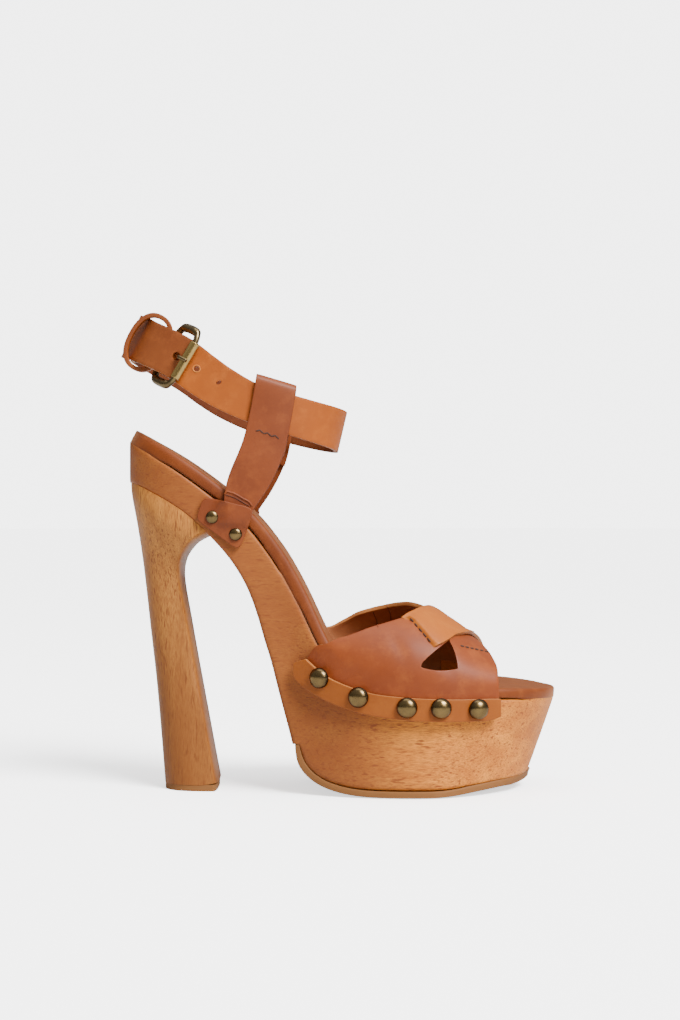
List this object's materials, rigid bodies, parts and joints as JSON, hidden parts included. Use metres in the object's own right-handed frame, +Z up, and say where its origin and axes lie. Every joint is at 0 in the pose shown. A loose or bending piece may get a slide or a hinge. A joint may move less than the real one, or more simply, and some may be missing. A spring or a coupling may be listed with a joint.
{
  "type": "clog sandal",
  "caption": "Right clog sandal with a wooden platform and high flared heel, crossed tan leather vamp with brass studs and a buckled ankle strap.",
  "frame": {"origin": "on the floor under the ball of the foot, on the outsole's flat underside", "axes": "+X to the toe, +Y to the medial side, +Z up"},
  "size_m": [0.1953, 0.0982, 0.2113],
  "materials": {
    "wood_body": "satin, oiled, with fine grain",
    "rubber_sole": "matt",
    "leather_insole": "smooth, slight sheen",
    "leather_vamp": "smooth, slight sheen",
    "leather_strap": "smooth, slight sheen",
    "leather_upright": "smooth, slight sheen",
    "leather_band": "smooth, slight sheen",
    "brass_dark": "antiqued, polished on the high spots",
    "brass_roller": "polished"
  },
  "bodies": {
    "root": {"sole": "wood_body", "heel": "wood_body", "outsole": "rubber_sole", "heel_top_piece": "rubber_sole", "insole": "leather_insole", "vamp": "leather_vamp", "ankle_strap": "leather_strap", "strap_end": "leather_strap", "keeper_loop": "leather_strap", "buckle_frame": "brass_dark", "buckle_roller": "brass_roller", "buckle_prong": "brass_dark", "stud_band_lateral": "leather_band", "stud_lateral_1": "brass_dark", "stud_lateral_2": "brass_dark", "stud_lateral_3": "brass_dark", "stud_lateral_4": "brass_dark", "stud_lateral_5": "brass_dark", "upright_strap_lateral": "leather_upright", "ankle_patch_lateral": "leather_upright", "rivet_lateral_1": "brass_dark", "rivet_lateral_2": "brass_dark", "stud_band_medial": "leather_band", "stud_medial_1": "brass_dark", "stud_medial_2": "brass_dark", "stud_medial_3": "brass_dark", "stud_medial_4": "brass_dark", "stud_medial_5": "brass_dark", "upright_strap_medial": "leather_upright", "ankle_patch_medial": "leather_upright", "rivet_medial_1": "brass_dark", "rivet_medial_2": "brass_dark"}
  },
  "joints": []
}
